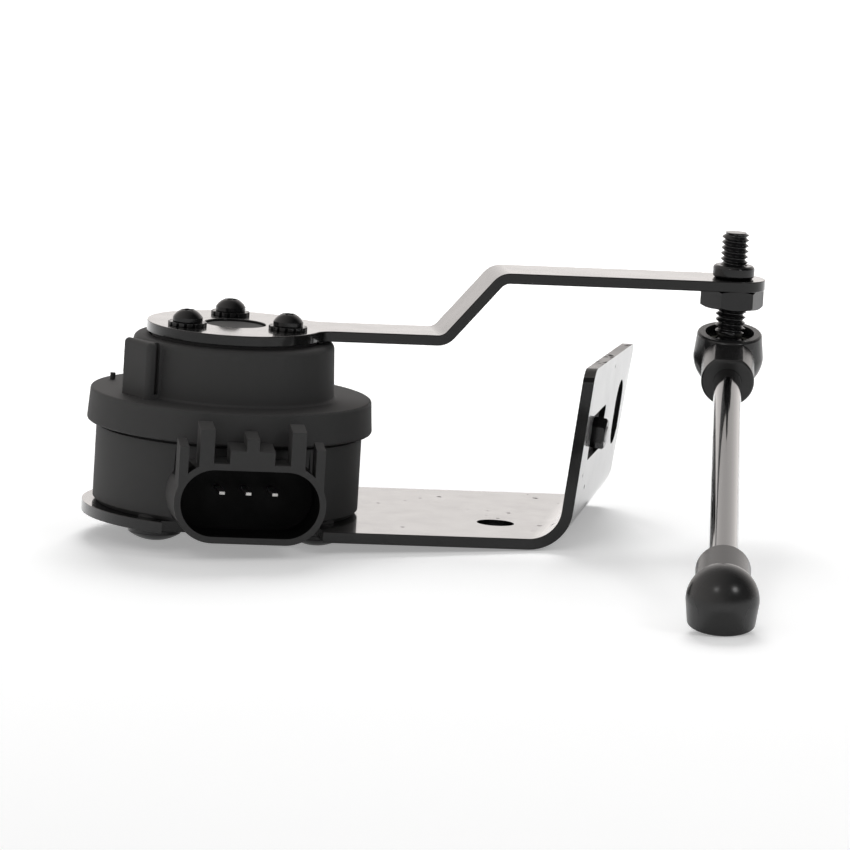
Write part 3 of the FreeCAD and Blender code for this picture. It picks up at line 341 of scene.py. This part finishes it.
CHIP = Finish("chip_resin", (0.015, 0.015, 0.016), 0.5, Relief.MOULD_GRAIN)


def new_piece(name: str, mesh: bpy.types.Mesh, finish: Finish, body: str) -> bpy.types.Object:
    """Put a mesh in the scene as a piece that rides on a body.

    Args:
        name: The piece's name.
        mesh: Its mesh, in the part's own frame.
        finish: Its finish.
        body: The body that carries it.

    Returns:
        The piece.
    """
    mesh.materials.clear()
    mesh.materials.append(finish.material())
    piece = bpy.data.objects.new(name, mesh)
    bpy.context.scene.collection.objects.link(piece)
    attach(piece, body)
    LOG.info("%s: %d faces, %s, on %s", name, len(mesh.polygons), finish.name, body)
    return piece


def repaint(piece: bpy.types.Object, finish: Finish, chosen: Callable[[Vector, Vector], bool]) -> None:
    """Give some of a piece's faces another finish.

    Args:
        piece: The piece.
        finish: The finish of those faces.
        chosen: Tells from a face's centre and normal whether it is one of them.
    """
    piece.data.materials.append(finish.material())
    for face in piece.data.polygons:
        if chosen(face.center, face.normal):
            face.material_index = 1


def soften(mesh: bpy.types.Mesh, degrees: float = SHARP_ANGLE) -> bpy.types.Mesh:
    """Shade a mesh smooth but for its sharp edges.

    Args:
        mesh: The mesh.
        degrees: The angle from which an edge is sharp.

    Returns:
        The same mesh.
    """
    mesh.shade_smooth()
    mesh.set_sharp_from_angle(angle=math.radians(degrees))
    return mesh


def eased_copy(node: str, radius: float, steps: int = 2) -> bpy.types.Mesh:
    """Copy a node's mesh and round its edges, as paint, moulding or tumbling leaves them.

    Args:
        node: The node's name.
        radius: The edges' radius, in metres.
        steps: The facets across each rounded edge.

    Returns:
        The rounded mesh.
    """
    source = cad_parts[node]
    mesh = source.data.copy()
    work = bmesh.new()
    work.from_mesh(mesh)
    bmesh.ops.remove_doubles(work, verts=work.verts, dist=MERGE_DISTANCE)
    bmesh.ops.dissolve_limit(work, angle_limit=math.radians(FLAT_ANGLE), verts=work.verts, edges=work.edges)
    work.to_mesh(mesh)
    work.free()
    soften(mesh)
    carrier = bpy.data.objects.new("carrier", mesh)
    bpy.context.scene.collection.objects.link(carrier)
    bevel = carrier.modifiers.new("edges", "BEVEL")
    bevel.width = radius
    bevel.segments = steps
    bevel.limit_method = "ANGLE"
    bevel.angle_limit = math.radians(EASED_ANGLE)
    bevel.use_clamp_overlap = True
    bevel.harden_normals = True
    level = carrier.modifiers.new("flat_faces", "WEIGHTED_NORMAL")
    level.mode = "FACE_AREA"
    level.weight = 90
    level.keep_sharp = True
    view = bpy.context.evaluated_depsgraph_get()
    eased = bpy.data.meshes.new_from_object(carrier.evaluated_get(view))
    bpy.data.objects.remove(carrier)
    return eased


@dataclass
class Studio:
    """The camera, the pale floor, the lamps and the world."""

    aim: Point = (-0.0606, 0.0118, 0.0285)
    azimuth: float = -9.5
    elevation: float = 8.7
    roll: float = 3.5
    distance: float = 2.2
    focal: float = 9680.0
    picture: float = 850.0
    aim_spot: tuple[float, float] = (231.2, 392.3)
    sensor_width: float = 36.0
    floor_point: Point = (-0.0404, -0.0074, -0.0028)
    floor_normal: Point = (-0.0515, 0.0113, 0.9986)
    floor_size: float = 60.0
    floor_glow: float = 0.31
    mirrored_floor: float = 0.5
    room_light: float = 0.38
    backdrop_glow: float = 1.2
    left_glow: float = 0.9
    front_glow: float = 0.03
    mirrored_tint: Colour = (1.0, 0.955, 0.93)
    behind_range: tuple[float, float] = (-0.85, -0.05)
    side_range: tuple[float, float] = (-0.9, 0.5)
    paper_tones: tuple[float, float] = (0.86, 0.88)

    def build(self) -> None:
        """Set the camera, floor, lamps and world."""
        self.set_camera()
        self.lay_floor()
        self.hang_lamps()
        self.fill_world()
        bpy.context.scene.view_settings.view_transform = "Standard"

    def axes(self) -> tuple[Vector, Vector, Vector]:
        """Give the camera's right, up and backward directions before its roll."""
        turn = math.radians(self.azimuth)
        lift = math.radians(self.elevation)
        back = Vector((math.sin(turn) * math.cos(lift), -math.cos(turn) * math.cos(lift), math.sin(lift)))
        right = Vector((math.cos(turn), math.sin(turn), 0.0))
        return right, back.cross(right), back

    def set_camera(self) -> None:
        """Stand the camera where the photograph was taken from."""
        right, up, back = self.axes()
        roll = math.radians(self.roll)
        across = self.aim_spot[0] - self.picture / 2
        down = self.aim_spot[1] - self.picture / 2
        level_across = across * math.cos(roll) + down * math.sin(roll)
        level_down = down * math.cos(roll) - across * math.sin(roll)
        scale = self.distance / self.focal
        spot = Vector(self.aim) + back * self.distance
        spot = spot - right * level_across * scale + up * level_down * scale
        turned_right = right * math.cos(roll) + up * math.sin(roll)
        turned_up = up * math.cos(roll) - right * math.sin(roll)
        data = bpy.data.cameras.new("camera")
        data.sensor_width = self.sensor_width
        data.lens = self.focal * self.sensor_width / self.picture
        data.clip_start = 0.1
        data.clip_end = 200.0
        camera = bpy.data.objects.new("camera", data)
        camera.matrix_world = Matrix((
            (turned_right.x, turned_up.x, back.x, spot.x),
            (turned_right.y, turned_up.y, back.y, spot.y),
            (turned_right.z, turned_up.z, back.z, spot.z),
            (0.0, 0.0, 0.0, 1.0),
        ))
        bpy.context.scene.collection.objects.link(camera)
        bpy.context.scene.camera = camera

    def lay_floor(self) -> None:
        """Lay a pale floor under the three places that the sensor stands on."""
        half = self.floor_size / 2
        work = bmesh.new()
        signs = ((-1, -1), (1, -1), (1, 1), (-1, 1))
        corners = [work.verts.new((x * half, y * half, 0.0)) for x, y in signs]
        work.faces.new(corners)
        mesh = bpy.data.meshes.new("floor")
        work.to_mesh(mesh)
        work.free()
        mesh.materials.append(self.floor_material())
        floor = bpy.data.objects.new("floor", mesh)
        tilt = Vector((0.0, 0.0, 1.0)).rotation_difference(Vector(self.floor_normal))
        floor.matrix_world = Matrix.Translation(self.floor_point) @ tilt.to_matrix().to_4x4()
        bpy.context.scene.collection.objects.link(floor)

    def floor_material(self) -> bpy.types.Material:
        """Make the floor's paper white, lit a little where the camera sees it.

        Returns:
            The material.
        """
        made = bpy.data.materials.new("floor_paper")
        made.use_nodes = True
        graph = Graph(made.node_tree)
        shader = made.node_tree.nodes["Principled BSDF"]
        place = graph.add("ShaderNodeTexCoord").outputs["Object"]
        low, high = ((tone, tone, tone) for tone in self.paper_tones)
        paper = graph.ramp(graph.noise(place, 3.0, 3.0), (0.3, low), (0.7, high))
        graph.join(paper, shader.inputs["Base Color"])
        shader.inputs["Roughness"].default_value = 0.9
        shader.inputs["Emission Color"].default_value = (1.0, 1.0, 1.0, 1.0)
        path = graph.add("ShaderNodeLightPath")
        mirrored = graph.maths("MULTIPLY", path.outputs["Is Glossy Ray"], self.mirrored_floor)
        seen = graph.maths("MAXIMUM", path.outputs["Is Camera Ray"], mirrored)
        graph.join(graph.maths("MULTIPLY", seen, self.floor_glow), shader.inputs["Emission Strength"])
        return made

    def hang_lamps(self) -> None:
        """Hang a wide lamp above and behind, and two small ones in front for the highlights."""
        self.lamp("behind", (0.1, 0.95, 0.85), 0.6, 12.0, mirrored=False)
        self.lamp("front_left", (-0.55, -0.9, 0.8), 0.17, 0.7)
        self.lamp("front_right", (0.6, -0.9, 0.8), 0.25, 1.6)

    def lamp(self, name: str, spot: Point, size: float, power: float, mirrored: bool = True) -> None:
        """Hang one square lamp that faces the sensor.

        Args:
            name: The lamp's name.
            spot: Its place, in metres.
            size: Its side, in metres.
            power: Its power, in watts.
            mirrored: Whether glossy surfaces show it.
        """
        data = bpy.data.lights.new(name, "AREA")
        data.size = size
        data.energy = power
        lamp = bpy.data.objects.new(name, data)
        lamp.location = spot
        lamp.rotation_euler = (Vector(self.aim) - Vector(spot)).to_track_quat("-Z", "Y").to_euler()
        lamp.visible_glossy = mirrored
        bpy.context.scene.collection.objects.link(lamp)

    def fill_world(self) -> None:
        """Make the world white behind and above, and dim at the side that the sensor faces."""
        world = bpy.data.worlds.new("studio")
        bpy.context.scene.world = world
        world.use_nodes = True
        graph = Graph(world.node_tree)
        background = world.node_tree.nodes["Background"]
        way = graph.add("ShaderNodeTexCoord").outputs["Generated"]
        right, _, back = self.axes()
        behind = graph.remap(graph.along(way, back), *self.behind_range, self.backdrop_glow, 0.0)
        side = graph.remap(graph.along(way, right), *self.side_range, self.left_glow, self.front_glow)
        room = graph.maths("MAXIMUM", behind, side)
        path = graph.add("ShaderNodeLightPath")
        glossy = graph.add("ShaderNodeMix")
        graph.join(path.outputs["Is Glossy Ray"], glossy.inputs["Factor"])
        glossy.inputs["A"].default_value = self.room_light
        graph.join(room, glossy.inputs["B"])
        seen = graph.add("ShaderNodeMix")
        graph.join(path.outputs["Is Camera Ray"], seen.inputs["Factor"])
        graph.join(glossy.outputs["Result"], seen.inputs["A"])
        seen.inputs["B"].default_value = 1.0
        tint = graph.add("ShaderNodeMix")
        tint.data_type = "RGBA"
        graph.join(path.outputs["Is Glossy Ray"], tint.inputs["Factor"])
        tint.inputs["A"].default_value = (1.0, 1.0, 1.0, 1.0)
        tint.inputs["B"].default_value = (*self.mirrored_tint, 1.0)
        graph.join(tint.outputs["Result"], background.inputs["Color"])
        graph.join(seen.outputs["Result"], background.inputs["Strength"])


@dataclass
class EasedPiece:
    """A piece shaped on its CAD node, with its edges rounded."""

    node: str
    body: str
    slot: str
    finish: Finish
    edge: float = 0.0003
    steps: int = 2

    def build(self) -> bpy.types.Object:
        """Build the piece in its node's place.

        Returns:
            The piece.
        """
        mesh = eased_copy(self.node, self.edge, self.steps)
        piece = new_piece(f"{self.node}_skin", mesh, self.finish, self.body)
        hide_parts(self.node)
        return piece


@dataclass
class Bracket:
    """The folded bracket with its grommet, locating pin and screws."""

    sheet_edge: float = 0.0004
    edge_level: float = 0.034
    edge_slope: float = 0.35
    near_edge: float = -0.0208
    fold: float = 0.002
    opening: float = 0.031
    opening_from: float = 0.001
    opening_full: float = 0.012
    screws: int = 4

    def build(self) -> None:
        """Build the bracket and what is fastened to it."""
        sheet = EasedPiece("mounting_bracket", "housing", "painted_steel", SHEET_PAINT,
                           self.sheet_edge, 3).build()
        repaint(sheet, EDGE_PAINT, self.on_top_edge)
        grommet = EasedPiece("flange_grommet", "housing", "black_rubber", RUBBER, 0.0003).build()
        pin = EasedPiece("locating_pin", "housing", "bare_steel", BARE_STEEL, 0.0003).build()
        nut = EasedPiece("locating_nut", "housing", "black_steel", BLACK_OXIDE, 0.0002).build()
        for piece in (sheet, grommet, pin, nut):
            self.open_flange(piece.data)
        for number in range(1, self.screws + 1):
            EasedPiece(f"bracket_screw_{number}", "housing", "black_steel", BLACK_OXIDE, 0.0003).build()

    def on_top_edge(self, centre: Vector, normal: Vector) -> bool:
        """Tell whether a face lies on the flange's top edge."""
        return centre.z > self.edge_level and normal.z > self.edge_slope

    def open_flange(self, mesh: bpy.types.Mesh) -> None:
        """Open the flange outwards, by nearly two degrees, more and more towards its back edge."""
        for vertex in mesh.vertices:
            spot = vertex.co
            if spot.x > self.fold:
                share = (spot.z - self.opening_from) / (self.opening_full - self.opening_from)
                spot.x += (spot.y - self.near_edge) * self.opening * min(max(share, 0.0), 1.0)


@dataclass
class SensorHousing:
    """The moulded housing, its cover and what is sealed inside."""

    edge: float = 0.0003
    axis: tuple[float, float] = (-0.0606, 0.0118)
    rib_level: float = 0.021
    rib_slope: float = 0.2
    boss_level: float = 0.037
    boss_circle: float = 0.0236
    boss_lift: float = 0.0006
    mouth_low: Point = (-0.0766, -0.0274, 0.0015)
    mouth_high: Point = (-0.0446, -0.0140, 0.0172)
    inside: dict[str, Finish] = field(default_factory=lambda: {
        "terminal_1": TIN, "terminal_2": TIN, "terminal_3": TIN, "circuit_board": BOARD,
        "angle_sensor_chip": CHIP, "housing_gasket": RUBBER, "shaft_bush": BRONZE, "shaft_seal": RUBBER,
    })

    def build(self) -> None:
        """Build the housing and dress the pieces inside it."""
        cup = EasedPiece("lower_housing", "housing", "housing_plastic", HOUSING_PLASTIC, self.edge).build()
        self.slope_ribs(cup.data)
        # The faces inside the connector's mouth get painted shade, a darker finish in place of the shade
        # that falls in the recess.
        repaint(cup, MOUTH_PAINTED_SHADE, self.in_mouth)
        cover = EasedPiece("upper_cover", "housing", "housing_plastic", HOUSING_PLASTIC, self.edge).build()
        self.lift_boss(cover.data)
        for node, finish in self.inside.items():
            dress_node(node, finish)

    def in_mouth(self, centre: Vector, _normal: Vector) -> bool:
        """Tell whether a face lies inside the connector's mouth."""
        return all(low < part < high for low, part, high in zip(self.mouth_low, centre, self.mouth_high))

    def slope_ribs(self, mesh: bpy.types.Mesh) -> None:
        """Let the tops of the latch ribs rise towards the housing."""
        front = min(vertex.co.y for vertex in mesh.vertices)
        for vertex in mesh.vertices:
            if vertex.co.z > self.rib_level:
                vertex.co.z += (vertex.co.y - front) * self.rib_slope

    def lift_boss(self, mesh: bpy.types.Mesh) -> None:
        """Bring the top of the cover's side boss level with the cap."""
        for vertex in mesh.vertices:
            out = math.hypot(vertex.co.x - self.axis[0], vertex.co.y - self.axis[1])
            if vertex.co.z > self.boss_level and out > self.boss_circle:
                vertex.co.z += self.boss_lift


def dress_node(node: str, finish: Finish) -> None:
    """Give a carried-over node its finish.

    Args:
        node: The node's name.
        finish: The finish.
    """
    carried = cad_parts[node]
    for place in carried.material_slots:
        place.material = finish.material()
    LOG.info("%s: carried over, %s", node, finish.name)


@dataclass
class Lever:
    """The cranked lever with its rotor, screws, washers and ball stud."""

    sheet_edge: float = 0.0004
    screws: int = 3
    spigot_lift: float = 0.0009

    def build(self) -> None:
        """Build the lever and what turns with it."""
        EasedPiece("lever_arm", "lever", "painted_steel", LEVER_PAINT, self.sheet_edge, 3).build()
        rotor = EasedPiece("rotor_shaft", "lever", "rotor_plastic", ROTOR_PLASTIC, 0.0003).build()
        self.lift_spigot(rotor.data)
        dress_node("sensor_magnet", FERRITE)
        dress_node("retaining_ring", BARE_STEEL)
        for number in range(1, self.screws + 1):
            EasedPiece(f"lever_screw_{number}", "lever", "black_steel", BLACK_OXIDE, 0.0002).build()
            EasedPiece(f"lock_washer_{number}", "lever", "black_steel", BLACK_OXIDE, 0.0001).build()
        BallStud().build()

    def lift_spigot(self, mesh: bpy.types.Mesh) -> None:
        """Bring the rotor's spigot nearly level with the lever that it centres."""
        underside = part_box("lever_arm")[0][2]
        for vertex in mesh.vertices:
            if vertex.co.z > underside + self.spigot_lift / 2:
                vertex.co.z += self.spigot_lift


@dataclass
class BallStud:
    """The threaded ball stud with its two nuts."""

    radius: float = 0.00318
    neck_radius: float = 0.0035
    taper_radius: float = 0.0028
    ball_radius: float = 0.005
    pitch: float = 0.00127
    depth: float = 0.0007
    turns: int = 56
    rows_per_pitch: int = 12
    end_share: float = 0.78
    end_chamfer: float = 0.0006
    chamfer_slope: float = 0.9
    end_margin: float = 0.0001
    neck_height: float = 0.0056
    neck_margin: float = 0.0002
    ball_rows: int = 24
    flank_slope: float = 2.4
    least_radius: float = 0.0004
    crease: float = 60.0

    def build(self) -> None:
        """Build the stud with its cut threads, and its nuts."""
        low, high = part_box("ball_stud")
        top = high[2]
        ball = low[2] + self.ball_radius
        centre = ((low[0] + high[0]) / 2, (low[1] + high[1]) / 2)
        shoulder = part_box("stud_hex_nut")[0][2]
        mesh = self.threaded(top, shoulder, ball)
        mesh.transform(Matrix.Translation((centre[0], centre[1], 0.0)))
        piece = new_piece("ball_stud_threaded", mesh, BLACK_OXIDE, "lever")
        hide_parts("ball_stud")
        EasedPiece("stud_hex_nut", "lever", "black_steel", BLACK_OXIDE, 0.0002).build()
        EasedPiece("stud_top_nut", "lever", "black_steel", BLACK_OXIDE, 0.0002).build()

    def threaded(self, top: float, shoulder: float, ball: float) -> bpy.types.Mesh:
        """Cut a thread on the stud and its neck, and round its ball.

        Args:
            top: The height of the stud's end.
            shoulder: The height where the neck starts.
            ball: The height of the ball's centre.

        Returns:
            The stud's mesh, about the Z axis.
        """
        rings: list[tuple[float, float, float]] = [(self.radius * self.end_share, top, 0.0)]
        step = self.pitch / self.rows_per_pitch
        neck_low = ball + self.neck_height
        height = top - self.end_margin
        while height > neck_low:
            outer = self.radius if height > shoulder else self.neck_radius
            chamfer = max(0.0, self.end_chamfer - (top - height)) * self.chamfer_slope
            rings.append((outer - chamfer, height, self.depth))
            height -= step
        meeting = ball + math.sqrt(self.ball_radius ** 2 - self.taper_radius ** 2)
        rings.append((self.neck_radius - self.neck_margin, neck_low - self.neck_margin, 0.0))
        rings.append((self.taper_radius, meeting, 0.0))
        first = math.asin(self.taper_radius / self.ball_radius)
        for number in range(1, self.ball_rows):
            angle = first + (math.pi - first) * number / self.ball_rows
            rise = self.ball_radius * math.cos(angle)
            rings.append((self.ball_radius * math.sin(angle), ball + rise, 0.0))
        return self.skin(rings)

    def skin(self, rings: Sequence[tuple[float, float, float]]) -> bpy.types.Mesh:
        """Join rings whose radius dips along a helix.

        Args:
            rings: Radius, height and thread depth of each ring.

        Returns:
            The closed mesh.
        """
        work = bmesh.new()
        loops = []
        for radius, height, depth in rings:
            loop = []
            for number in range(self.turns):
                around = number / self.turns
                phase = (height / self.pitch + around) % 1.0
                dip = depth * min(1.0, abs(phase - 0.5) * self.flank_slope)
                reach = max(radius - dip, self.least_radius)
                loop.append(work.verts.new((reach * math.cos(math.tau * around),
                                            reach * math.sin(math.tau * around), height)))
            loops.append(loop)
        for upper, lower in zip(loops, loops[1:]):
            for number in range(self.turns):
                after = (number + 1) % self.turns
                work.faces.new((upper[number], lower[number], lower[after], upper[after]))
        work.faces.new(loops[0])
        work.faces.new(list(reversed(loops[-1])))
        bmesh.ops.recalc_face_normals(work, faces=work.faces)
        mesh = bpy.data.meshes.new("stud")
        work.to_mesh(mesh)
        work.free()
        return soften(mesh, self.crease)


@dataclass
class Link:
    """The link rod between its two ball sockets."""

    socket_edge: float = 0.0003

    def build(self) -> None:
        """Build the rod, the sockets and their seats."""
        EasedPiece("upper_socket", "link", "socket_plastic", SOCKET_PLASTIC, self.socket_edge).build()
        EasedPiece("lower_socket", "link", "socket_plastic", SOCKET_PLASTIC, self.socket_edge).build()
        EasedPiece("link_rod", "link", "painted_steel", ROD_PAINT, 0.0003).build()
        dress_node("upper_ball_seat", SEAT_PLASTIC)
        dress_node("lower_ball_seat", SEAT_PLASTIC)


def main() -> None:
    """Build the studio and each sub-assembly."""
    logging.basicConfig(level=logging.INFO, format="%(name)s: %(message)s")
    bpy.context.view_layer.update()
    Studio().build()
    for assembly in (Bracket(), SensorHousing(), Lever(), Link()):
        assembly.build()


if __name__ == "__main__":
    main()
